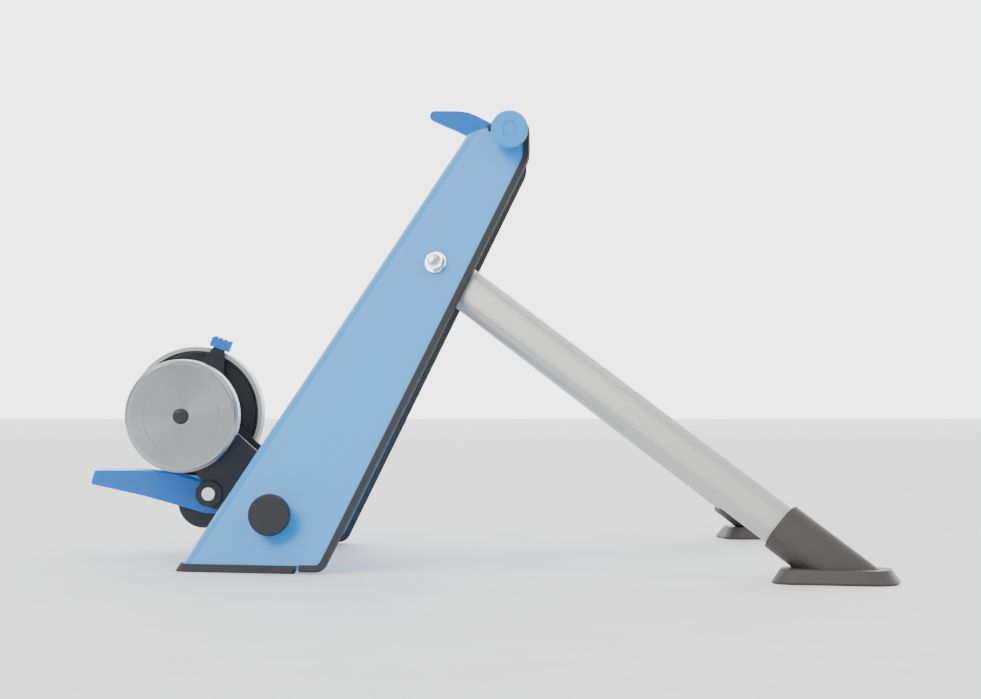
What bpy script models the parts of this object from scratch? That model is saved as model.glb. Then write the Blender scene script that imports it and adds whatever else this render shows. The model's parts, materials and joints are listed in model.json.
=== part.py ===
# Folding magnetic bike trainer, built from its separate pieces.
# Metres, +Z up. +X is the bike's forward direction, -Y is the bike's right side.
# The part stands on Z = 0 with its origin under the middle of its box.
import bpy
import bmesh
from math import acos, atan2, ceil, cos, pi, radians, sin, sqrt
from mathutils import Matrix, Vector

# Gaps between pieces
GAP = 0.0003
ARC_STEP = radians(15)
ROUND_SIDES = 40
SMALL_SIDES = 24

# Places in side view, as X and Z
AXLE = (0.0355, 0.3940)
LEG_PIVOT = (-0.0304, 0.2741)
CROSS = (-0.1754, 0.0515)
ROLLER_AXIS = (-0.2650, 0.1353)
LEVER_PIN = (-0.2432, 0.0626)

# Upright blades: folded sheet, toed out and splayed
BLADE_Y = 0.104
TOE = 0.229
SPLAY = 0.315
SHEET = 0.0025
FLANGE_DEPTH = 0.038
BEND_R = 0.0160
FRONT_EDGE_X = -0.2645
FRONT_EDGE_RUN = 0.6535
REAR_EDGE_X = -0.1315
REAR_EDGE_RUN = 0.495
BLADE_BOTTOM = 0.0040
TOP_EDGE_Z = 0.3943
TOP_EDGE_RISE = 0.20
HEAD_R = 0.016
HEAD_CORNER_R = 0.020
FOOT_CORNER_R = 0.010

# Rubber edging and base pad
TRIM_SKIN = 0.0012
TRIM_BASE = 0.0015
TRIM_LIP = 0.0035
TRIM_START_X = 0.0160
PAD_SKIN = 0.0022
PAD_HEIGHT = 0.0070
PAD_FLOOR = 0.0037
PAD_END_GAP = 0.0028

# Cross tube with its end caps and welded collars
CROSS_R = 0.0165
CROSS_WALL = 0.0020
CROSS_HALF = 0.1830
CAP_SKIN = 0.0019
CAP_END = 0.0050
CAP_FACE_Y = CROSS_HALF + CAP_END
CAP_DEPTH = 0.0110
CAP_EDGE = 0.0015
COLLAR_R = 0.0215
COLLAR_INNER_Y = 0.1380
COLLAR_OUTER_Y = 0.1900

# Folding legs
LEG_DROP = 0.7645
LEG_HALF_HIGH = 0.0185
LEG_HALF_WIDE = 0.0120
LEG_WALL = 0.0020
LEG_TAIL = 0.0210
LEG_LENGTH = 0.4340
LEG_WASHER = 0.0019
LEG_WASHER_R = 0.0110
LEG_PLUG_DEPTH = 0.0100
LEG_PLUG_HEAD = 0.0020

# Leg pivot bolt
BOLT_R = 0.0040
BOLT_FLANGE_R = 0.0098
BOLT_FLANGE = 0.0020
BOLT_HEX_R = 0.0084
BOLT_HEX = 0.0050
BOLT_DOME = 0.0028
NUT_HEX_R = 0.0078
NUT_HIGH = 0.0065
BOLT_SPARE = 0.0020

# Leg feet
SLEEVE_WALL = 0.0030
SOCKET_DEEP = 0.0410
SLEEVE_START = LEG_LENGTH - SOCKET_DEEP
SLEEVE_CUT_Z = 0.0060
BASE_LENGTH = 0.1060
BASE_WIDTH = 0.0620
BASE_HIGH = 0.0120
BASE_RIM = 0.0020
BASE_FLARE = 0.0065
BASE_CORNER_R = 0.0200
BASE_X = 0.3060
BASE_MID_Z = 0.0080

# Axle clamp: sleeves in the blade heads, cups on a screw and on a plunger
SLEEVE_IN_Y = 0.0880
SLEEVE_OUT_Y = 0.1180
CLAMP_SLEEVE_R = 0.0100
ROD_R = 0.0070
CUP_FACE_Y = 0.0660
CUP_BACK_Y = 0.0780
CUP_R = 0.0130
CUP_BORE_R = 0.0085
CUP_DEPTH = 0.0070
ROD_END_Y = 0.1250
KNOB_R = 0.0166
KNOB_OUT_Y = 0.1350
KNOB_BOTTOM_Y = 0.1322
KNOB_EDGE = 0.0015
POCKET_HALF = 0.0060
POCKET_LOW = 0.0065
POCKET_HIGH = 0.0020
POCKET_DEEP = 0.0010
LEVER_HUB_R = 0.0160
LEVER_HUB_OUT_Y = 0.1370
LEVER_HUB_BOTTOM_Y = 0.1345
LEVER_ARM_IN_Y = 0.1200
LEVER_ARM_OUT_Y = 0.1330

# Brake yoke
PLATE_RIGHT_OUT = -0.0420
PLATE_LEFT_OUT = 0.0410
PLATE = 0.0070
YOKE_HEAD_R = 0.0200
YOKE_ELBOW = (-0.2390, 0.0880)
YOKE_ELBOW_R = 0.0170
YOKE_BARREL_R = 0.0225
PIN_BOSS_R = 0.0120
PIN_BOSS = 0.0030
STOP_COLLAR = 0.0060
STOP_COLLAR_R = 0.0220

# Roller train on one shaft
SHAFT_R = 0.0050
BEARING_R = 0.0130
BEARING_SHOULDER_R = 0.0080
ROLLER_R = 0.0150
ROLLER_EDGE = 0.0010
FLY_R = 0.0522
FLY_OUT_Y = -0.0780
FLY_IN_Y = -0.0500
FLY_GROOVE_R = 0.0352
FLY_GROOVE = 0.0008
FLY_GROOVE_DEEP = 0.0012
FLY_BEVEL = 0.0050
FLY_HUB_R = 0.0120
FLY_BOLT_R = 0.0072
FLY_BOLT = 0.0045
DRUM_R = 0.0640
DRUM_WALL = 0.0040
DRUM_FRONT_Y = 0.0470
DRUM_BACK_Y = 0.0820
DRUM_HUB_R = 0.0140
DRUM_HUB_Y = 0.0640
SHAFT_END = 0.0060
DRUM_NUT_R = 0.0090
DRUM_NUT = 0.0050

# Stator with its magnets, and the resistance selector
STATOR_R = 0.0570
STATOR_FRONT_Y = 0.0485
STATOR_STEP_R = 0.0430
STATOR_STEP = 0.0030
STATOR_BACK_Y = 0.0560
STATOR_HUB_R = 0.0190
MAGNET_COUNT = 6
MAGNET_R = 0.0080
MAGNET_RING_R = 0.0440
MAGNET = 0.0040
SELECTOR_FRONT_Y = 0.0425
SELECTOR = 0.0025
SELECTOR_HUB_R = 0.0260
SELECTOR_ARM_HALF = 0.0060
SELECTOR_TIP_R = 0.0640
TAB_ANGLE = radians(69.7)
TAB_IN_R = 0.0660
TAB_HIGH = 0.0105
TAB_OUT_R = TAB_IN_R + TAB_HIGH
TAB_HALF = 0.0098
TAB_TEETH = 4
TAB_TOOTH = 0.0018
TAB_BACK_Y = 0.0520

# Pressure lever with its cam
LEVER_HALF_WIDE = 0.0200
LEVER_WALL = 0.0030
CAM_R = 0.0243
CAM_CENTRE = (-0.2505, 0.0533)
CAM_HALF_WIDE = 0.0150
PIN_R = 0.0040
PIN_HEAD_R = 0.0070
PIN_HEAD = 0.0025

# Colours as linear red, green, blue
BLUE = (0.105, 0.450, 0.830)
DEEP_BLUE = (0.000, 0.255, 0.720)
BLACK = (0.018, 0.018, 0.020)
GREY_PLASTIC = (0.048, 0.040, 0.039)
SILVER = (0.520, 0.520, 0.500)
STEEL = (0.620, 0.620, 0.630)
CHROME = (0.800, 0.800, 0.820)
NYLON = (0.750, 0.740, 0.700)


def clear_scene():
    for item in list(bpy.data.objects):
        bpy.data.objects.remove(item, do_unlink=True)


def paint(name, colour, roughness, metallic=0.0):
    material = bpy.data.materials.new(name)
    material.use_nodes = True
    shader = material.node_tree.nodes["Principled BSDF"]
    shader.inputs["Base Color"].default_value = (*colour, 1.0)
    shader.inputs["Roughness"].default_value = roughness
    shader.inputs["Metallic"].default_value = metallic
    material.diffuse_color = (*colour, 1.0)
    return material


# Outlines in two dimensions

def arc(centre, radius, start, sweep):
    steps = max(2, ceil(abs(sweep) / ARC_STEP))
    return [(centre[0] + radius * cos(start + sweep * i / steps),
             centre[1] + radius * sin(start + sweep * i / steps)) for i in range(steps + 1)]


def around_circles(circles):
    """Closed outline that runs round circles (x, y, r); a negative r is passed on its far side."""
    count = len(circles)
    normals = []
    for i in range(count):
        x1, y1, r1 = circles[i]
        x2, y2, r2 = circles[(i + 1) % count]
        heading = atan2(y2 - y1, x2 - x1)
        distance = sqrt((x2 - x1) ** 2 + (y2 - y1) ** 2)
        normals.append(heading - acos((r1 - r2) / distance))
    outline = []
    for i in range(count):
        x, y, r = circles[i]
        start = normals[i - 1]
        turn = (normals[i] - start) % (2 * pi)
        if r < 0:
            turn -= 2 * pi
        if r == 0:
            outline.append((x, y))
        else:
            outline += arc((x, y), r, start, turn)
    return drop_repeats(outline)


def drop_repeats(outline, closed=True):
    kept = []
    for point in outline:
        if not kept or (Vector(point) - Vector(kept[-1])).length > 1e-6:
            kept.append(point)
    if closed and (Vector(kept[0]) - Vector(kept[-1])).length < 1e-6:
        kept.pop()
    return kept


def rounded(points, radii, closed=True):
    """Polygon or open line whose corners are arcs of the given radii."""
    count = len(points)
    outline = []
    for i in range(count):
        corner = Vector(points[i])
        inner_end = not closed and i in (0, count - 1)
        if radii[i] == 0 or inner_end:
            outline.append(tuple(corner))
            continue
        back = (Vector(points[i - 1]) - corner).normalized()
        ahead = (Vector(points[(i + 1) % count]) - corner).normalized()
        half = acos(max(-1.0, min(1.0, back.dot(ahead)))) / 2
        middle = corner + (back + ahead).normalized() * radii[i] / sin(half)
        first = corner + back * radii[i] / (sin(half) / cos(half)) - middle
        last = corner + ahead * radii[i] / (sin(half) / cos(half)) - middle
        start = atan2(first.y, first.x)
        sweep = (atan2(last.y, last.x) - start + pi) % (2 * pi) - pi
        outline += arc(middle, radii[i], start, sweep)
    return drop_repeats(outline, closed)


def oval(half_long, half_short):
    """Flat oval: two half circles joined by straight sides."""
    run = half_long - half_short
    return around_circles([(-run, 0.0, half_short), (run, 0.0, half_short)])


def hexagon(radius):
    return [(radius * cos(pi * i / 3), radius * sin(pi * i / 3)) for i in range(6)]


# Solids

def solid(name, bm, place=None, material=None, pivot=(0.0, 0.0, 0.0)):
    """Object from a closed mesh; a mirrored place keeps its faces pointing out."""
    if place is not None:
        bm.transform(place)
        if place.determinant() < 0:
            bmesh.ops.reverse_faces(bm, faces=bm.faces)
    bm.transform(Matrix.Translation(-Vector(pivot)))
    mesh = bpy.data.meshes.new(name)
    bm.to_mesh(mesh)
    bm.free()
    mesh.shade_smooth()
    mesh.set_sharp_from_angle(angle=radians(32))
    item = bpy.data.objects.new(name, mesh)
    item.location = pivot
    bpy.context.scene.collection.objects.link(item)
    if material:
        mesh.materials.append(material)
    return item


def rings_mesh(rings, closed_ends=True):
    """Mesh through rings of points that all have the same count."""
    bm = bmesh.new()
    loops = [[bm.verts.new(point) for point in ring] for ring in rings]
    pairs = list(zip(loops, loops[1:]))
    if not closed_ends:
        pairs.append((loops[-1], loops[0]))
    for low, high in pairs:
        for i in range(len(low)):
            j = (i + 1) % len(low)
            bm.faces.new((low[i], low[j], high[j], high[i]))
    if closed_ends:
        bm.faces.new(list(reversed(loops[0])))
        bm.faces.new(loops[-1])
    bmesh.ops.recalc_face_normals(bm, faces=bm.faces)
    return bm


def prism_mesh(outline, low, high):
    rings = [[(x, y, z) for x, y in outline] for z in (low, high)]
    return rings_mesh(rings)


def turned_mesh(profile, sides=ROUND_SIDES):
    """Closed profile of (radius, height) turned about local Z; zero radii lie on the axis."""
    bm = bmesh.new()
    rows = []
    for radius, height in profile:
        if radius == 0:
            rows.append([bm.verts.new((0.0, 0.0, height))] * sides)
        else:
            rows.append([bm.verts.new((radius * cos(2 * pi * i / sides), radius * sin(2 * pi * i / sides), height))
                         for i in range(sides)])
    on_axis = any(radius == 0 for radius, _ in profile)
    pairs = list(zip(rows, rows[1:]))
    if not on_axis:
        pairs.append((rows[-1], rows[0]))
    for low, high in pairs:
        for i in range(sides):
            j = (i + 1) % sides
            corners = []
            for vertex in (low[i], low[j], high[j], high[i]):
                if vertex not in corners:
                    corners.append(vertex)
            if len(corners) > 2:
                bm.faces.new(corners)
    bmesh.ops.recalc_face_normals(bm, faces=bm.faces)
    return bm


def along_y(x, z, y=0.0):
    """Place whose local Z runs along +Y and whose local X stays along +X."""
    turn = Matrix(((1, 0, 0, 0), (0, 0, 1, 0), (0, -1, 0, 0), (0, 0, 0, 1)))
    return Matrix.Translation((x, y, z)) @ turn


def side_view(y=0.0):
    """Place that lays an outline given as X and Z upright; heights run along -Y."""
    return Matrix(((1, 0, 0, 0), (0, 0, -1, y), (0, 1, 0, 0), (0, 0, 0, 1)))


def turned(name, profile, centre, material, sides=ROUND_SIDES, pivot=(0.0, 0.0, 0.0)):
    """Turned piece about a line along Y; profile heights are world Y."""
    return solid(name, turned_mesh(profile, sides), along_y(*centre), material, pivot)


def side_prism(name, outline, y_low, y_high, material=None, pivot=(0.0, 0.0, 0.0)):
    """Outline in X and Z, pulled from y_low to y_high."""
    return solid(name, prism_mesh(outline, -y_high, -y_low), side_view(), material, pivot)


def combine(target, tool, operation):
    modifier = target.modifiers.new(tool.name, "BOOLEAN")
    modifier.operation = operation
    modifier.object = tool
    modifier.solver = "EXACT"
    tool.hide_render = True
    tool.display_type = "WIRE"


def cut(target, *tools):
    for tool in tools:
        combine(target, tool, "DIFFERENCE")


def join(target, *tools):
    for tool in tools:
        combine(target, tool, "UNION")


def disc(radius, low, high):
    return [(0.0, low), (radius, low), (radius, high), (0.0, high)]


def ring(inner, outer, low, high):
    return [(inner, low), (outer, low), (outer, high), (inner, high)]


def softened_disc(radius, low, high, edge):
    """Disc whose rim at the low end is broken by a bevel."""
    return [(0.0, low), (radius - edge, low), (radius, low + edge), (radius, high), (0.0, high)]


# Blade planes: local X forward in the plane, Y up the plane, Z out of the frame

def mirror_for(side):
    return Matrix.Identity(4) if side == "right" else Matrix.Diagonal((1, -1, 1, 1))


def blade_axes():
    out = Vector((-TOE, -1.0, SPLAY)).normalized()
    ahead = Vector((1.0, -TOE, 0.0)).normalized()
    return ahead, out.cross(ahead), out


def blade_point(x, z):
    """World point on the right blade's outer face at a place in side view."""
    return Vector((x, -BLADE_Y - TOE * (x - AXLE[0]) - SPLAY * (AXLE[1] - z), z))


def frame_at(origin, x_axis, y_axis, z_axis):
    place = Matrix.Identity(4)
    for column, axis in enumerate((x_axis, y_axis, z_axis)):
        for row in range(3):
            place[row][column] = axis[row]
    place.translation = origin
    return place


def blade_place(side):
    return mirror_for(side) @ frame_at(blade_point(*AXLE), *blade_axes())


def in_blade(x, z):
    """Side-view place as coordinates in the blade plane."""
    ahead, up, _ = blade_axes()
    offset = blade_point(x, z) - blade_point(*AXLE)
    return offset.dot(ahead), offset.dot(up)


def rear_edge_x(z):
    return REAR_EDGE_X + REAR_EDGE_RUN * z


def front_edge_x(z):
    return FRONT_EDGE_X + FRONT_EDGE_RUN * z


def top_edge_z(x):
    return TOP_EDGE_Z + TOP_EDGE_RISE * x


def head_corner():
    """Where the upright side of the head meets the rear edge."""
    x = AXLE[0] + HEAD_R
    return x, (x - REAR_EDGE_X) / REAR_EDGE_RUN


def blade_edge(start_x):
    """Edge of the blade from the top front, over the head and down the rear, in the blade plane."""
    corner_x, corner_z = head_corner()
    joint_z = top_edge_z(AXLE[0] - HEAD_R)
    head = [(AXLE[0] + HEAD_R * cos(t), AXLE[1] + HEAD_R * sin(t))
            for t in (radians(165 - 15 * i) for i in range(12))]
    line = [(start_x, top_edge_z(start_x)), (AXLE[0] - HEAD_R - 0.001, joint_z)] + head
    line += [(corner_x, corner_z), (rear_edge_x(BLADE_BOTTOM), BLADE_BOTTOM)]
    end_x = rear_edge_x(BLADE_BOTTOM) - 2 * FOOT_CORNER_R
    line.append((end_x, BLADE_BOTTOM))
    radii = [0.0, 0.001] + [0.0] * len(head) + [HEAD_CORNER_R, FOOT_CORNER_R, 0.0]
    return rounded([in_blade(x, z) for x, z in line], radii, closed=False)


def fold_axes():
    """Along the front fold, and across the blade to its rear."""
    _, _, out = blade_axes()
    fold = (blade_point(front_edge_x(AXLE[1]), AXLE[1]) - blade_point(front_edge_x(0.0), 0.0)).normalized()
    return fold, fold.cross(out)


def sheet_profile(grow, rear, depth=FLANGE_DEPTH):
    """Section of the folded sheet as (rearward, outward), grown on every side."""
    outer = BEND_R + grow
    inner = BEND_R - SHEET - grow
    centre = (BEND_R, -BEND_R)
    profile = [(rear, grow)] + arc(centre, outer, pi / 2, pi / 2)
    profile += [(-grow, -depth - grow), (SHEET + grow, -depth - grow)]
    profile += arc(centre, inner, pi, -pi / 2) + [(rear, -SHEET - grow)]
    return profile


def fold_piece(name, side, profile, low, high, material=None):
    """Section pulled along the fold between two level planes."""
    fold, rearward = fold_axes()
    _, _, out = blade_axes()
    base = blade_point(front_edge_x(0.0), 0.0)
    rings = []
    for level in (low, high):
        ring_points = []
        for across, outward in profile:
            point = base + rearward * across + out * outward
            ring_points.append(point + fold * ((level - point.z) / fold.z))
        rings.append(ring_points)
    return solid(name, rings_mesh(rings), mirror_for(side), material)


def rearward_of(x, z):
    """Distance of a place on the blade behind its front fold."""
    _, rearward = fold_axes()
    return (blade_point(x, z) - blade_point(front_edge_x(0.0), 0.0)).dot(rearward)


def build_upright(side, material):
    sheet_rear = rearward_of(rear_edge_x(0.0), 0.0) + 0.02
    top = AXLE[1] + 2 * HEAD_R
    upright = fold_piece(f"upright_{side}", side, sheet_profile(0.0, sheet_rear), BLADE_BOTTOM, top, material)
    edge = blade_edge(front_edge_x(AXLE[1]) - BEND_R)
    low_left = in_blade(front_edge_x(0.0) - 2 * BEND_R, BLADE_BOTTOM)
    outline = edge + [(low_left[0], edge[-1][1]), (low_left[0], edge[0][1])]
    keep = solid(f"blade_outline_{side}", prism_mesh(list(reversed(outline)), -0.08, 0.02), blade_place(side))
    combine(upright, keep, "INTERSECT")
    reach = BLADE_Y * 2.4
    tube_span = mirrored(disc(CROSS_R + GAP, FLANGE_DEPTH, reach), side)
    head_span = mirrored(disc(CLAMP_SLEEVE_R + GAP, FLANGE_DEPTH, reach), side)
    tube_hole = turned(f"cross_hole_{side}", tube_span, CROSS, None)
    head_hole = turned(f"sleeve_hole_{side}", head_span, AXLE, None)
    bolt_hole = solid(f"bolt_hole_{side}", turned_mesh(disc(BOLT_R + GAP, -0.01, 0.01), SMALL_SIDES),
                      pivot_place(side))
    cut(upright, tube_hole, head_hole, bolt_hole)
    return upright


# Pivot frame of a leg: local X along the leg, Y across it, Z out of the frame

def leg_direction():
    return Vector((1.0, -TOE - SPLAY * LEG_DROP, -LEG_DROP)).normalized()


def pivot_place(side):
    _, _, out = blade_axes()
    along = leg_direction()
    return mirror_for(side) @ frame_at(blade_point(*LEG_PIVOT), along, out.cross(along), out)


def world_pivot(side):
    return pivot_place(side).translation


def leg_centre():
    """Depth of the leg's middle behind the blade's outer face."""
    return -(SHEET + GAP + LEG_WASHER + GAP + LEG_HALF_WIDE)


def leg_section(half_high, half_wide):
    """Oval across the leg, as (across, outward)."""
    return [(x, y + leg_centre()) for x, y in oval(half_high, half_wide)]


def along_leg_mesh(outline, start, end):
    rings = [[(s, across, outward) for across, outward in outline] for s in (start, end)]
    return rings_mesh(rings)


def hollow_mesh(outer, inner, start, end):
    """Open-ended tube between two outlines with the same number of points."""
    rings = []
    for outline, s in ((outer, start), (outer, end), (inner, end), (inner, start)):
        rings.append([(s, across, outward) for across, outward in outline])
    return rings_mesh(rings, closed_ends=False)


def build_pad(side, material):
    """Rubber foot strip under the blade, with a slot that the sheet stands in."""
    rear = rearward_of(rear_edge_x(BLADE_BOTTOM) - 2 * FOOT_CORNER_R, BLADE_BOTTOM) - PAD_END_GAP
    pad = fold_piece(f"base_pad_{side}", side, sheet_profile(PAD_SKIN, rear), 0.0, PAD_HEIGHT, material)
    slot = fold_piece(f"pad_slot_{side}", side, sheet_profile(GAP, rear + 0.02), PAD_FLOOR, PAD_HEIGHT + 0.02)
    cut(pad, slot)
    return pad


def build_trim(side, material):
    """Rubber edging swept round the head and down the rear edge of the blade."""
    line = [Vector(point) for point in blade_edge(TRIM_START_X)]
    outer = SHEET / 2 + GAP + TRIM_SKIN
    inner = SHEET / 2 + GAP
    beyond = GAP + TRIM_BASE
    section = [(beyond, outer), (-TRIM_LIP, outer), (-TRIM_LIP, inner), (GAP, inner),
               (GAP, -inner), (-TRIM_LIP, -inner), (-TRIM_LIP, -outer), (beyond, -outer)]
    rings = []
    for i, point in enumerate(line):
        before = line[max(i - 1, 0)]
        after = line[min(i + 1, len(line) - 1)]
        heading = (after - before).normalized()
        outward = Vector((-heading.y, heading.x))
        rings.append([(point.x + outward.x * o, point.y + outward.y * o, h - SHEET / 2) for o, h in section])
    return solid(f"edge_trim_{side}", rings_mesh(rings), blade_place(side), material)


def build_cross_tube(material):
    return turned("cross_tube", ring(CROSS_R - CROSS_WALL, CROSS_R, -CROSS_HALF, CROSS_HALF), CROSS, material)


def mirrored(profile, side):
    """Profile whose heights are given for the left side."""
    return [(r, h if side == "left" else -h) for r, h in profile]


def build_tube_cap(side, material):
    inner = CROSS_R + GAP
    outer = inner + CAP_SKIN - GAP
    start = CAP_FACE_Y - CAP_DEPTH
    profile = [(inner, start), (outer, start), (outer, CAP_FACE_Y - CAP_EDGE), (outer - CAP_EDGE, CAP_FACE_Y),
               (0.0, CAP_FACE_Y), (0.0, CROSS_HALF + GAP), (inner, CROSS_HALF + GAP)]
    rows = mirrored(profile, side)
    turn = rows[4:] + rows[:4]
    bm = turned_mesh([turn[1], turn[2]] + turn[3:] + [turn[0]])
    return solid(f"tube_cap_{side}", bm, along_y(*CROSS), material)


def blade_slab(name, side, high):
    """Everything from just inside the blade outwards, as a cutter."""
    reach = 0.30
    square = [(-reach, -reach * 2), (reach, -reach * 2), (reach, reach), (-reach, reach)]
    return solid(name, prism_mesh(square, -SHEET - GAP, high), blade_place(side))


def build_collar(side, material):
    """Welded collar round the cross tube, cut to lie against the blade's inner face."""
    name = f"tube_collar_{side}"
    profile = mirrored(ring(CROSS_R + GAP, COLLAR_R, COLLAR_INNER_Y, COLLAR_OUTER_Y), side)
    collar = turned(name, profile, CROSS, material)
    cut(collar, blade_slab(f"collar_cut_{side}", side, 0.10))
    return collar


def build_clamp_sleeve(side, material):
    profile = mirrored(ring(ROD_R + GAP, CLAMP_SLEEVE_R, SLEEVE_IN_Y, SLEEVE_OUT_Y), side)
    return turned(f"clamp_sleeve_{side}", profile, AXLE, material, SMALL_SIDES)


def clamp_origin(side, y):
    return (AXLE[0], y if side == "left" else -y, AXLE[1])


def build_axle_rod(name, side, material):
    """Rod through the sleeve with the axle cup in one piece at its inner end."""
    profile = [(0.0, ROD_END_Y), (ROD_R, ROD_END_Y), (ROD_R, CUP_BACK_Y), (CUP_R - CAP_EDGE, CUP_BACK_Y),
               (CUP_R, CUP_BACK_Y - CAP_EDGE), (CUP_R, CUP_FACE_Y), (CUP_BORE_R, CUP_FACE_Y),
               (CUP_BORE_R * 0.8, CUP_FACE_Y + CUP_DEPTH), (0.0, CUP_FACE_Y + CUP_DEPTH)]
    pivot = clamp_origin(side, CUP_FACE_Y)
    return turned(name, mirrored(profile, side), AXLE, material, SMALL_SIDES, pivot)


def blind_cap(side, radius, outer, bottom, edge):
    """Round cap with a blind bore for the rod, open towards the sleeve."""
    start = SLEEVE_OUT_Y + GAP
    bore = ROD_R + GAP
    profile = [(0.0, bottom), (bore, bottom), (bore, start), (radius, start), (radius, outer - edge),
               (radius - edge, outer), (0.0, outer)]
    return mirrored(profile, side)


def build_knob(material):
    pivot = clamp_origin("right", KNOB_OUT_Y)
    profile = blind_cap("right", KNOB_R, KNOB_OUT_Y, KNOB_BOTTOM_Y, KNOB_EDGE)
    knob = turned("adjusting_knob", profile, AXLE, material, ROUND_SIDES, pivot)
    low = AXLE[1] - POCKET_LOW
    high = AXLE[1] + POCKET_HIGH
    top = arc((AXLE[0], high), POCKET_HALF, 0.0, pi)
    pocket_line = [(AXLE[0] - POCKET_HALF, low), (AXLE[0] + POCKET_HALF, low)] + top
    pocket = side_prism("knob_pocket", pocket_line, -KNOB_OUT_Y - 0.004, -KNOB_OUT_Y + POCKET_DEEP)
    cut(knob, pocket)
    return knob


def clamp_lever_outline():
    """Curved thumb lever that leaves its hub upwards and to the rear."""
    x, z = AXLE
    return around_circles([(x - 0.0720, z + 0.0336, 0.0050), (x - 0.0725, z - 0.0370, -0.0600),
                           (x, z, LEVER_HUB_R), (x - 0.0495, z - 0.0015, 0.0400)])


def build_clamp_lever(material):
    pivot = clamp_origin("left", LEVER_ARM_IN_Y)
    profile = blind_cap("left", LEVER_HUB_R + GAP, LEVER_HUB_OUT_Y, LEVER_HUB_BOTTOM_Y, KNOB_EDGE)
    lever = turned("clamp_lever", profile, AXLE, material, ROUND_SIDES, pivot)
    arm = side_prism("clamp_arm", clamp_lever_outline(), LEVER_ARM_IN_Y, LEVER_ARM_OUT_Y)
    bore = turned("clamp_arm_bore", disc(ROD_R + GAP, LEVER_ARM_IN_Y - 0.01, LEVER_HUB_BOTTOM_Y), AXLE, None)
    join(lever, arm)
    cut(lever, bore)
    return lever


def build_leg_tube(side, material):
    outer = leg_section(LEG_HALF_HIGH, LEG_HALF_WIDE)
    inner = leg_section(LEG_HALF_HIGH - LEG_WALL, LEG_HALF_WIDE - LEG_WALL)
    bm = hollow_mesh(outer, inner, -LEG_TAIL, LEG_LENGTH)
    pivot = world_pivot(side)
    tube = solid(f"leg_tube_{side}", bm, pivot_place(side), material, pivot)
    deep = leg_centre() * 2
    hole = solid(f"leg_hole_{side}", turned_mesh(disc(BOLT_R + GAP, deep, 0.0), SMALL_SIDES), pivot_place(side))
    cut(tube, hole)
    return tube


def build_leg_plug(side, material):
    """Plastic plug in the upper end of the leg."""
    shrink = LEG_WALL + GAP
    stem = leg_section(LEG_HALF_HIGH - shrink, LEG_HALF_WIDE - shrink)
    head = leg_section(LEG_HALF_HIGH, LEG_HALF_WIDE)
    end = -LEG_TAIL - GAP
    rings = []
    for outline, s in ((head, end - LEG_PLUG_HEAD), (head, end), (stem, end), (stem, end + LEG_PLUG_DEPTH)):
        rings.append([(s, across, outward) for across, outward in outline])
    pivot = world_pivot(side)
    return solid(f"leg_plug_{side}", rings_mesh(rings), pivot_place(side), material, pivot)


def build_leg_washer(side, material):
    high = -SHEET - GAP
    profile = ring(BOLT_R + GAP, LEG_WASHER_R, high - LEG_WASHER, high)
    return solid(f"leg_washer_{side}", turned_mesh(profile, SMALL_SIDES), pivot_place(side), material)


def bolt_end():
    return 2 * leg_centre() + SHEET + LEG_WASHER + 2 * GAP - GAP - NUT_HIGH - BOLT_SPARE


def build_leg_bolt(side, material):
    """Hex bolt with a flange and a domed top, through blade and leg."""
    top = GAP + BOLT_FLANGE
    profile = [(0.0, bolt_end()), (BOLT_R, bolt_end()), (BOLT_R, GAP), (BOLT_FLANGE_R, GAP),
               (BOLT_FLANGE_R, top), (BOLT_HEX_R * 0.7, top), (BOLT_HEX_R * 0.7, top + BOLT_HEX),
               (BOLT_HEX_R * 0.5, top + BOLT_HEX + BOLT_DOME * 0.7), (0.0, top + BOLT_HEX + BOLT_DOME)]
    bolt = solid(f"leg_bolt_{side}", turned_mesh(profile, SMALL_SIDES), pivot_place(side), material)
    block = prism_mesh(hexagon(BOLT_HEX_R), top - BOLT_FLANGE / 2, top + BOLT_HEX)
    join(bolt, solid(f"bolt_hex_{side}", block, pivot_place(side)))
    return bolt


def build_leg_nut(side, material):
    high = 2 * leg_centre() + SHEET + LEG_WASHER + GAP
    nut = solid(f"leg_nut_{side}", prism_mesh(hexagon(NUT_HEX_R), high - NUT_HIGH, high), pivot_place(side), material)
    reach = high - 2 * NUT_HIGH
    cut(nut, solid(f"nut_bore_{side}", turned_mesh(disc(BOLT_R + GAP, reach, 0.0), SMALL_SIDES), pivot_place(side)))
    return nut


def base_rings():
    """Flared skirt of a foot, as level rounded rectangles about its own middle."""
    rings = []
    for level, shrink in ((0.0, BASE_RIM / 2), (BASE_RIM / 2, 0.0), (BASE_RIM, 0.0), (BASE_HIGH, BASE_FLARE)):
        x = BASE_LENGTH / 2 - shrink
        y = BASE_WIDTH / 2 - shrink
        corners = rounded([(-x, -y), (x, -y), (x, y), (-x, y)], [BASE_CORNER_R] * 4)
        rings.append([(px, py, level) for px, py in corners])
    return rings


def base_place(side):
    ahead, _, out = blade_axes()
    middle = blade_point(BASE_X, BASE_MID_Z) + out * leg_centre()
    origin = (middle.x, middle.y, 0.0)
    return mirror_for(side) @ frame_at(origin, ahead, Vector((0, 0, 1)).cross(ahead), Vector((0, 0, 1)))


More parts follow.
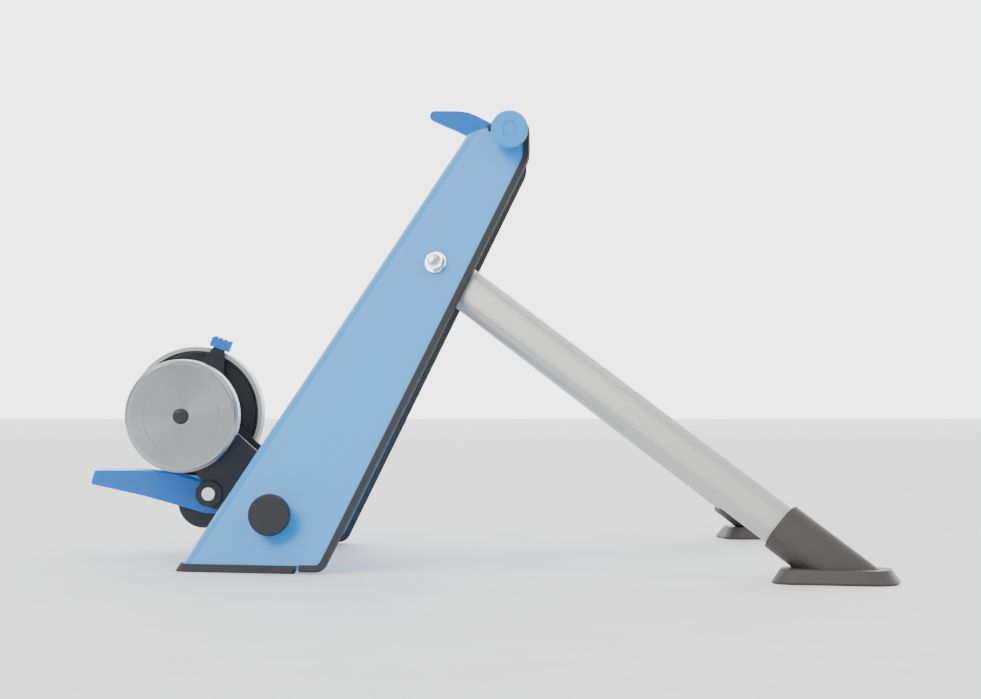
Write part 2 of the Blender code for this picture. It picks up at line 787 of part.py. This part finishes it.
def build_foot(side, material):
    """Plastic boot: flared base, and a sleeve with a socket for the leg."""
    foot = solid(f"leg_foot_{side}", rings_mesh(base_rings()), base_place(side), material, world_pivot(side))
    wall = SLEEVE_WALL + GAP
    sleeve_line = leg_section(LEG_HALF_HIGH + wall, LEG_HALF_WIDE + wall)
    sleeve = solid(f"foot_sleeve_{side}", along_leg_mesh(sleeve_line, SLEEVE_START, LEG_LENGTH * 1.2),
                   pivot_place(side))
    below = Matrix.Translation(base_place(side).translation)
    square = [(-0.2, -0.2), (0.2, -0.2), (0.2, 0.2), (-0.2, 0.2)]
    cut(sleeve, solid(f"sleeve_cut_{side}", prism_mesh(square, -0.2, SLEEVE_CUT_Z), below))
    socket_line = leg_section(LEG_HALF_HIGH + GAP, LEG_HALF_WIDE + GAP)
    socket = solid(f"foot_socket_{side}", along_leg_mesh(socket_line, SLEEVE_START - 0.02, LEG_LENGTH + GAP),
                   pivot_place(side))
    join(foot, sleeve)
    cut(foot, socket)
    return foot


def build_yoke(material):
    """Forked arm that swings on the cross tube and holds the roller between its plates."""
    pivot = (CROSS[0], 0.0, CROSS[1])
    barrel = disc(YOKE_BARREL_R, PLATE_RIGHT_OUT, PLATE_LEFT_OUT)
    yoke = turned("yoke", barrel, CROSS, material, ROUND_SIDES, pivot)
    elbow = (*YOKE_ELBOW, YOKE_ELBOW_R)
    outline = around_circles([(*ROLLER_AXIS, YOKE_HEAD_R), elbow, (*CROSS, YOKE_BARREL_R - 0.0005)])
    tail = around_circles([(*LEVER_PIN, PIN_BOSS_R), (*CROSS, YOKE_BARREL_R - 0.001)])
    for label, out_y, step in (("right", PLATE_RIGHT_OUT, 1), ("left", PLATE_LEFT_OUT, -1)):
        low, high = sorted((out_y + step * 0.0005, out_y + step * PLATE))
        join(yoke, side_prism(f"yoke_plate_{label}", outline, low, high))
        low, high = sorted((out_y + step * 0.0010, out_y + step * (PLATE - 0.0005)))
        join(yoke, side_prism(f"yoke_tail_{label}", tail, low, high))
        low, high = sorted((out_y - step * PIN_BOSS, out_y + step * (PLATE - 0.001)))
        join(yoke, turned(f"yoke_boss_{label}", disc(PIN_BOSS_R + 0.0002, low, high), LEVER_PIN, None, SMALL_SIDES))
        low, high = sorted((out_y - step * 0.02, out_y + step * 0.02))
        cut(yoke, turned(f"bearing_seat_{label}", disc(BEARING_R + GAP, low, high), ROLLER_AXIS, None, SMALL_SIDES))
        cut(yoke, turned(f"pin_bore_{label}", disc(PIN_R + GAP, low, high), LEVER_PIN, None, SMALL_SIDES))
    reach = 0.1
    cut(yoke, turned("yoke_bore", disc(CROSS_R + GAP, -reach, reach), CROSS, None))
    return yoke


def build_stop_collar(side, material):
    face = -PLATE_RIGHT_OUT if side == "right" else PLATE_LEFT_OUT
    profile = mirrored(ring(CROSS_R + GAP, STOP_COLLAR_R, face + GAP, face + STOP_COLLAR), side)
    return turned(f"stop_collar_{side}", profile, CROSS, material)


def build_bearing(side, material):
    face = -PLATE_RIGHT_OUT if side == "right" else PLATE_LEFT_OUT
    profile = mirrored(ring(SHAFT_R + GAP, BEARING_R, face - PLATE, face), side)
    return turned(f"roller_bearing_{side}", profile, ROLLER_AXIS, material, SMALL_SIDES)


def roller_pivot():
    return (ROLLER_AXIS[0], 0.0, ROLLER_AXIS[1])


def build_roller(material):
    """Press roller with shoulders that run up to the bearings."""
    low = PLATE_RIGHT_OUT + PLATE
    high = PLATE_LEFT_OUT - PLATE
    bore = SHAFT_R + GAP
    profile = [(bore, low + GAP), (BEARING_SHOULDER_R, low + GAP), (BEARING_SHOULDER_R, low + STATOR_STEP),
               (ROLLER_R - ROLLER_EDGE, low + STATOR_STEP), (ROLLER_R, low + STATOR_STEP + ROLLER_EDGE),
               (ROLLER_R, high - STATOR_STEP - ROLLER_EDGE), (ROLLER_R - ROLLER_EDGE, high - STATOR_STEP),
               (BEARING_SHOULDER_R, high - STATOR_STEP), (BEARING_SHOULDER_R, high - GAP), (bore, high - GAP)]
    return turned("press_roller", profile, ROLLER_AXIS, material, ROUND_SIDES, roller_pivot())


def build_shaft(material):
    profile = disc(SHAFT_R, FLY_OUT_Y + GAP, DRUM_BACK_Y + SHAFT_END)
    return turned("roller_shaft", profile, ROLLER_AXIS, material, SMALL_SIDES, roller_pivot())


def build_flywheel(material):
    """Turned flywheel with a rounded rim, a thin groove and a hub towards the bearing."""
    bore = SHAFT_R + GAP
    face = FLY_OUT_Y
    rim = [(FLY_R - FLY_BEVEL + FLY_BEVEL * sin(t), face + FLY_BEVEL - FLY_BEVEL * cos(t))
           for t in (radians(22.5 * i) for i in range(5))]
    profile = [(bore, face), (FLY_GROOVE_R - FLY_GROOVE, face), (FLY_GROOVE_R - FLY_GROOVE, face + FLY_GROOVE_DEEP),
               (FLY_GROOVE_R, face + FLY_GROOVE_DEEP), (FLY_GROOVE_R, face)] + rim
    profile += [(FLY_R, FLY_IN_Y), (FLY_HUB_R, FLY_IN_Y), (FLY_HUB_R, FLY_IN_Y + STATOR_STEP),
                (BEARING_SHOULDER_R, FLY_IN_Y + STATOR_STEP), (BEARING_SHOULDER_R, PLATE_RIGHT_OUT - GAP),
                (bore, PLATE_RIGHT_OUT - GAP)]
    return turned("flywheel", profile, ROLLER_AXIS, material, 56, roller_pivot())


def build_flywheel_bolt(material):
    """Dark domed bolt head at the centre of the flywheel."""
    start = FLY_OUT_Y - GAP
    dome = [(FLY_BOLT_R * cos(t), start - FLY_BOLT / 2 - FLY_BOLT / 2 * sin(t))
            for t in (radians(30 * i) for i in range(3))]
    profile = [(0.0, start), (FLY_BOLT_R, start)] + dome + [(0.0, start - FLY_BOLT)]
    return turned("flywheel_bolt", profile, ROLLER_AXIS, material, SMALL_SIDES, roller_pivot())


def build_drum(material):
    """Brake drum: a cup open towards the stator, turning on the shaft."""
    bore = SHAFT_R + GAP
    inner = DRUM_R - DRUM_WALL
    floor = DRUM_BACK_Y - DRUM_WALL
    profile = [(bore, DRUM_HUB_Y), (DRUM_HUB_R, DRUM_HUB_Y), (DRUM_HUB_R, floor), (inner, floor),
               (inner, DRUM_FRONT_Y), (DRUM_R - ROLLER_EDGE, DRUM_FRONT_Y), (DRUM_R, DRUM_FRONT_Y + ROLLER_EDGE),
               (DRUM_R, DRUM_BACK_Y - ROLLER_EDGE), (DRUM_R - ROLLER_EDGE, DRUM_BACK_Y), (bore, DRUM_BACK_Y)]
    return turned("brake_drum", profile, ROLLER_AXIS, material, 56, roller_pivot())


def build_drum_nut(material):
    line = [(ROLLER_AXIS[0] + x, ROLLER_AXIS[1] + z) for x, z in hexagon(DRUM_NUT_R)]
    low = DRUM_BACK_Y + GAP
    nut = side_prism("drum_nut", line, low, low + DRUM_NUT, material, roller_pivot())
    cut(nut, turned("drum_nut_bore", disc(SHAFT_R + GAP, low - 0.01, low + 0.02), ROLLER_AXIS, None, SMALL_SIDES))
    return nut


def build_stator(material):
    """Stepped black disc that carries the magnets, fixed to the yoke's left plate."""
    bore = BEARING_SHOULDER_R
    hub_start = PLATE_LEFT_OUT + GAP
    step = STATOR_FRONT_Y + STATOR_STEP
    profile = [(bore, hub_start), (STATOR_HUB_R, hub_start), (STATOR_HUB_R, STATOR_FRONT_Y),
               (STATOR_STEP_R, STATOR_FRONT_Y), (STATOR_STEP_R, step), (STATOR_R, step),
               (STATOR_R, STATOR_BACK_Y), (bore, STATOR_BACK_Y)]
    return turned("brake_stator", profile, ROLLER_AXIS, material, 56)


def build_magnet(index, material):
    angle = 2 * pi * index / MAGNET_COUNT
    centre = (ROLLER_AXIS[0] + MAGNET_RING_R * cos(angle), ROLLER_AXIS[1] + MAGNET_RING_R * sin(angle))
    low = STATOR_BACK_Y + GAP
    return turned(f"brake_magnet_{index + 1}", disc(MAGNET_R, low, low + MAGNET), centre, material, 16)


def toward_tab(distance, across=0.0):
    return (ROLLER_AXIS[0] + distance * cos(TAB_ANGLE) - across * sin(TAB_ANGLE),
            ROLLER_AXIS[1] + distance * sin(TAB_ANGLE) + across * cos(TAB_ANGLE))


def build_selector(material):
    """Ring and arm of the resistance selector, turning on the stator's hub."""
    x, z = toward_tab(SELECTOR_TIP_R)
    outline = around_circles([(*ROLLER_AXIS, SELECTOR_HUB_R), (x, z, SELECTOR_ARM_HALF)])
    selector = side_prism("selector_arm", outline, SELECTOR_FRONT_Y, SELECTOR_FRONT_Y + SELECTOR, material,
                          roller_pivot())
    low = SELECTOR_FRONT_Y - 0.01
    cut(selector, turned("selector_bore", disc(STATOR_HUB_R + GAP, low, low + 0.03), ROLLER_AXIS, None))
    return selector


def build_tab(material):
    """Finger tab of the selector with a toothed outer edge, standing over the drum's rim."""
    base = SELECTOR_TIP_R + SELECTOR_ARM_HALF + GAP
    outline = [toward_tab(TAB_IN_R, TAB_HALF), toward_tab(TAB_IN_R, -TAB_HALF)]
    for i in range(TAB_TEETH):
        start = -TAB_HALF + 2 * TAB_HALF * i / TAB_TEETH
        step = 2 * TAB_HALF / TAB_TEETH
        outline += [toward_tab(TAB_OUT_R, start), toward_tab(TAB_OUT_R, start + step * 0.5),
                    toward_tab(TAB_OUT_R - TAB_TOOTH, start + step * 0.75)]
    outline.append(toward_tab(TAB_OUT_R - TAB_TOOTH, TAB_HALF))
    low = SELECTOR_FRONT_Y + SELECTOR + GAP
    tab = side_prism("selector_tab", outline, SELECTOR_FRONT_Y - SELECTOR, TAB_BACK_Y, material, roller_pivot())
    arm_room = around_circles([(*toward_tab(0.0), SELECTOR_ARM_HALF + GAP),
                               (*toward_tab(base - SELECTOR_ARM_HALF), SELECTOR_ARM_HALF + GAP)])
    cut(tab, side_prism("tab_slot", arm_room, SELECTOR_FRONT_Y - GAP, low))
    return tab


def pressure_lever_outline():
    """Tapered foot lever in side view, thick at its root and thin at the tip."""
    return rounded([(-0.3560, 0.0705), (-0.3053, 0.0592), (-0.2490, 0.0432), (-0.2300, 0.0420),
                    (-0.2280, 0.0620), (-0.2537, 0.0723), (-0.2800, 0.0800), (-0.3100, 0.0832), (-0.3525, 0.0832)],
                   [0.002, 0.05, 0.01, 0.006, 0.006, 0.02, 0.05, 0.05, 0.002])


def build_pressure_lever(material):
    pivot = (LEVER_PIN[0], 0.0, LEVER_PIN[1])
    lever = side_prism("pressure_lever", pressure_lever_outline(), -LEVER_HALF_WIDE, LEVER_HALF_WIDE,
                       material, pivot)
    inside = LEVER_HALF_WIDE - LEVER_WALL
    channel = [(-0.3400, 0.0300), (-0.2000, 0.0300), (-0.2000, 0.0900), (-0.2500, 0.0900),
               (-0.2540, 0.0690), (-0.2800, 0.0760), (-0.3400, 0.0780)]
    room = side_prism("lever_channel", channel, -inside, inside)
    bore = turned("lever_bore", disc(PIN_R + GAP, -0.05, 0.05), LEVER_PIN, None, SMALL_SIDES)
    cut(lever, room, bore)
    return lever


def build_cam(material):
    """Eccentric cam between the lever's cheeks, on the same pin."""
    pivot = (LEVER_PIN[0], 0.0, LEVER_PIN[1])
    profile = disc(CAM_R, -CAM_HALF_WIDE, CAM_HALF_WIDE)
    cam = turned("lever_cam", profile, CAM_CENTRE, material, ROUND_SIDES, pivot)
    crown = [(-0.3400, 0.0735), (-0.2800, 0.0735), (-0.2530, 0.0660), (-0.2500, 0.0685),
             (-0.2350, 0.0740), (-0.2000, 0.0740), (-0.2000, 0.1100), (-0.3400, 0.1100)]
    cut(cam, side_prism("cam_crown", crown, -0.05, 0.05), turned("cam_bore", disc(PIN_R + GAP, -0.05, 0.05), LEVER_PIN, None, SMALL_SIDES))
    return cam


def build_lever_pin(material):
    """Pin of the pressure lever through both plates, with a head on the right boss."""
    head = PLATE_RIGHT_OUT - PIN_BOSS - GAP
    end = PLATE_LEFT_OUT + PIN_BOSS
    profile = [(0.0, head - PIN_HEAD), (PIN_HEAD_R - ROLLER_EDGE, head - PIN_HEAD), (PIN_HEAD_R, head - ROLLER_EDGE),
               (PIN_HEAD_R, head), (PIN_R, head), (PIN_R, end), (0.0, end)]
    return turned("lever_pin", profile, LEVER_PIN, material, SMALL_SIDES)


def build_side(side, paints):
    build_upright(side, paints["blue"])
    build_pad(side, paints["rubber"])
    build_trim(side, paints["rubber"])
    build_tube_cap(side, paints["rubber"])
    build_collar(side, paints["blue"])
    build_clamp_sleeve(side, paints["steel"])
    build_leg_tube(side, paints["silver"])
    build_leg_plug(side, paints["grey"])
    build_leg_washer(side, paints["nylon"])
    build_leg_bolt(side, paints["chrome"])
    build_leg_nut(side, paints["chrome"])
    build_foot(side, paints["grey"])
    build_stop_collar(side, paints["black"])
    build_bearing(side, paints["steel"])


def build_brake(paints):
    build_yoke(paints["black"])
    build_lever_pin(paints["chrome"])
    build_roller(paints["steel"])
    build_shaft(paints["steel"])
    build_flywheel(paints["steel"])
    build_flywheel_bolt(paints["black"])
    build_drum(paints["silver"])
    build_drum_nut(paints["chrome"])
    build_stator(paints["black"])
    build_selector(paints["black"])
    build_tab(paints["deep_blue"])
    build_pressure_lever(paints["deep_blue"])
    build_cam(paints["black"])
    for index in range(MAGNET_COUNT):
        build_magnet(index, paints["chrome"])


def main():
    clear_scene()
    paints = {
        "blue": paint("blue_paint", BLUE, 0.35),
        "deep_blue": paint("deep_blue_plastic", DEEP_BLUE, 0.38),
        "black": paint("black_metal", BLACK, 0.45),
        "rubber": paint("black_rubber", BLACK, 0.70),
        "grey": paint("dark_grey_plastic", GREY_PLASTIC, 0.50),
        "silver": paint("silver_paint", SILVER, 0.35, 0.5),
        "steel": paint("turned_steel", STEEL, 0.28, 1.0),
        "chrome": paint("bright_chrome", CHROME, 0.12, 1.0),
        "nylon": paint("pale_nylon", NYLON, 0.50),
    }
    for side in ("right", "left"):
        build_side(side, paints)
    build_cross_tube(paints["blue"])
    build_knob(paints["blue"])
    build_axle_rod("axle_screw", "right", paints["steel"])
    build_clamp_lever(paints["deep_blue"])
    build_axle_rod("axle_plunger", "left", paints["steel"])
    build_brake(paints)


main()
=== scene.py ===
import bpy
import json
from math import atan, pi
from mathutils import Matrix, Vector

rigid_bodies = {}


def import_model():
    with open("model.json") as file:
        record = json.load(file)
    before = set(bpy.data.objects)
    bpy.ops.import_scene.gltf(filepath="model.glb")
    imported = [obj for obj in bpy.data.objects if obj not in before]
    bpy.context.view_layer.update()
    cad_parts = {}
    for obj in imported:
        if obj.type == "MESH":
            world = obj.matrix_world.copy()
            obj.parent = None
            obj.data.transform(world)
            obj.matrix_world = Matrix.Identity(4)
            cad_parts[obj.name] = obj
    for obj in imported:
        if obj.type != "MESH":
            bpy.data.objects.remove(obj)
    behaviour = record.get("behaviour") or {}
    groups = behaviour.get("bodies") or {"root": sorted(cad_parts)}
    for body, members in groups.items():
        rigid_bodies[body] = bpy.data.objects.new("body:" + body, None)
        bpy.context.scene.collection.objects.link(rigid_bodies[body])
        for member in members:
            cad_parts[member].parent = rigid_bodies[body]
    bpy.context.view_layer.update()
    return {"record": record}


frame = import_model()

# Camera: level, looking along +Y. Place in metres, focal length and image width in pixels
CAMERA_PLACE = (0.0185, -2.509, 0.1965)
FOCAL_PIXELS = 2656.0
IMAGE_WIDTH = 981.0
SENSOR_WIDTH = 36.0

# Looks, as linear colour, roughness, metallic, bump height in metres, grain scale
LOOKS = {
    "blue_paint": ((0.020, 0.330, 0.800), 0.34, 0.0, 0.00004, 900.0),
    "deep_blue_plastic": ((0.000, 0.170, 0.620), 0.36, 0.0, 0.00006, 700.0),
    "black_rubber": ((0.020, 0.021, 0.023), 0.66, 0.0, 0.00010, 1200.0),
    "dark_grey_plastic": ((0.046, 0.039, 0.037), 0.48, 0.0, 0.00010, 1000.0),
    "silver_metal": ((0.500, 0.500, 0.480), 0.36, 0.45, 0.00003, 900.0),
    "bright_chrome": ((0.780, 0.780, 0.800), 0.14, 1.0, 0.00002, 500.0),
    "pale_nylon": ((0.740, 0.730, 0.700), 0.50, 0.0, 0.00004, 700.0),
    "black_metal": ((0.017, 0.018, 0.021), 0.42, 0.0, 0.00008, 800.0),
    "turned_steel": ((0.420, 0.420, 0.430), 0.26, 1.0, 0.00002, 700.0),
}
FLOOR_LOOK = ((0.86, 0.86, 0.86), 0.60, 0.0, 0.00005, 60.0)
PAPER_LOOK = ((0.90, 0.90, 0.90), 0.80, 0.0, 0.00002, 40.0)
MOTTLE_SCALE = 14.0
MOTTLE_DARKEST = 0.90
MOTTLE_LIGHTEST = 1.08
ROUGHNESS_SPREAD = 0.05
BUMP_STRENGTH = 0.5
TURNED_STRETCH = 0.85

# Studio, in metres and watts
FLOOR_SIZE = 12.0
BACKDROP_PLACE = (0.0, 5.0, 0.0)
BACKDROP_GLOW = 2.6
GLOW_COLOUR = (1.0, 1.0, 1.0, 1.0)
SKY_COLOUR = (0.95, 0.97, 1.0, 1.0)
SKY_STRENGTH = 0.9
LIGHT_TARGET = (0.0, 0.0, 0.2)
# Each light's name, place, size and power
LIGHTS = (
    ("key", (-1.8, -2.2, 2.4), 2.2, 70.0),
    ("fill", (2.2, -1.8, 1.6), 2.6, 30.0),
    ("top", (0.0, 0.4, 3.0), 3.0, 45.0),
)


def shaded(colour, factor):
    """Opaque colour made darker or lighter by a factor, capped at white."""
    return (*[min(1.0, channel * factor) for channel in colour], 1.0)


def node_material(name, colour, roughness, metallic, bump, scale):
    """Base colour, roughness and bump vary over the surface with object-space noise."""
    material = bpy.data.materials.new(name)
    material.use_nodes = True
    nodes = material.node_tree.nodes
    links = material.node_tree.links
    shader = nodes["Principled BSDF"]
    shader.inputs["Metallic"].default_value = metallic
    place = nodes.new("ShaderNodeTexCoord")
    mottle = nodes.new("ShaderNodeTexNoise")
    mottle.inputs["Scale"].default_value = MOTTLE_SCALE
    grain = nodes.new("ShaderNodeTexNoise")
    grain.inputs["Scale"].default_value = scale
    links.new(place.outputs["Object"], mottle.inputs["Vector"])
    links.new(place.outputs["Object"], grain.inputs["Vector"])
    ramp = nodes.new("ShaderNodeValToRGB")
    ramp.color_ramp.elements[0].color = shaded(colour, MOTTLE_DARKEST)
    ramp.color_ramp.elements[1].color = shaded(colour, MOTTLE_LIGHTEST)
    links.new(mottle.outputs["Fac"], ramp.inputs["Fac"])
    links.new(ramp.outputs["Color"], shader.inputs["Base Color"])
    spread = nodes.new("ShaderNodeMapRange")
    spread.inputs["To Min"].default_value = roughness - ROUGHNESS_SPREAD
    spread.inputs["To Max"].default_value = roughness + ROUGHNESS_SPREAD
    links.new(mottle.outputs["Fac"], spread.inputs["Value"])
    links.new(spread.outputs["Result"], shader.inputs["Roughness"])
    relief = nodes.new("ShaderNodeBump")
    relief.inputs["Distance"].default_value = bump
    relief.inputs["Strength"].default_value = BUMP_STRENGTH
    links.new(grain.outputs["Fac"], relief.inputs["Height"])
    links.new(relief.outputs["Normal"], shader.inputs["Normal"])
    return material


def turned_material():
    """Steel with highlights stretched round the wheel's axle, which lies along Y."""
    material = node_material("turned_face", *LOOKS["turned_steel"])
    shader = material.node_tree.nodes["Principled BSDF"]
    shader.inputs["Anisotropic"].default_value = TURNED_STRETCH
    turning = material.node_tree.nodes.new("ShaderNodeTangent")
    turning.direction_type = "RADIAL"
    turning.axis = "Y"
    material.node_tree.links.new(turning.outputs["Tangent"], shader.inputs["Tangent"])
    return material


def dress_nodes():
    """Every CAD node gets the material of its slot, and the flywheel its turned face."""
    made = {slot: node_material(slot, *look) for slot, look in LOOKS.items()}
    for part in frame["record"]["subparts"]:
        item = bpy.data.objects[part["node"]]
        item.data.materials.clear()
        item.data.materials.append(made[part["material_slot"]])
    bpy.data.objects["flywheel"].data.materials[0] = turned_material()


def add_floor():
    bpy.ops.mesh.primitive_plane_add(size=FLOOR_SIZE)
    floor = bpy.context.object
    floor.name = "floor"
    floor.data.materials.append(node_material("pale_floor", *FLOOR_LOOK))


def add_backdrop():
    """Glowing white wall behind the part."""
    bpy.ops.mesh.primitive_plane_add(
        size=FLOOR_SIZE, location=BACKDROP_PLACE, rotation=(pi / 2, 0.0, 0.0))
    backdrop = bpy.context.object
    backdrop.name = "backdrop"
    paper = node_material("white_paper", *PAPER_LOOK)
    shader = paper.node_tree.nodes["Principled BSDF"]
    shader.inputs["Emission Color"].default_value = GLOW_COLOUR
    shader.inputs["Emission Strength"].default_value = BACKDROP_GLOW
    backdrop.data.materials.append(paper)


def add_lights():
    """Three area lights aimed at the part, and an even sky."""
    for name, place, size, power in LIGHTS:
        data = bpy.data.lights.new(name, "AREA")
        data.size = size
        data.energy = power
        lamp = bpy.data.objects.new(name, data)
        lamp.location = place
        aim = Vector(LIGHT_TARGET) - Vector(place)
        lamp.rotation_euler = aim.to_track_quat("-Z", "Y").to_euler()
        bpy.context.scene.collection.objects.link(lamp)
    world = bpy.data.worlds.new("studio")
    world.use_nodes = True
    sky = world.node_tree.nodes["Background"]
    sky.inputs["Color"].default_value = SKY_COLOUR
    sky.inputs["Strength"].default_value = SKY_STRENGTH
    bpy.context.scene.world = world


def add_camera():
    data = bpy.data.cameras.new("photo_camera")
    data.sensor_width = SENSOR_WIDTH
    data.angle = 2 * atan(IMAGE_WIDTH / 2 / FOCAL_PIXELS)
    camera = bpy.data.objects.new("photo_camera", data)
    camera.location = CAMERA_PLACE
    camera.rotation_euler = (pi / 2, 0.0, 0.0)
    bpy.context.scene.collection.objects.link(camera)
    bpy.context.scene.camera = camera


add_camera()
add_lights()
add_floor()
add_backdrop()
dress_nodes()
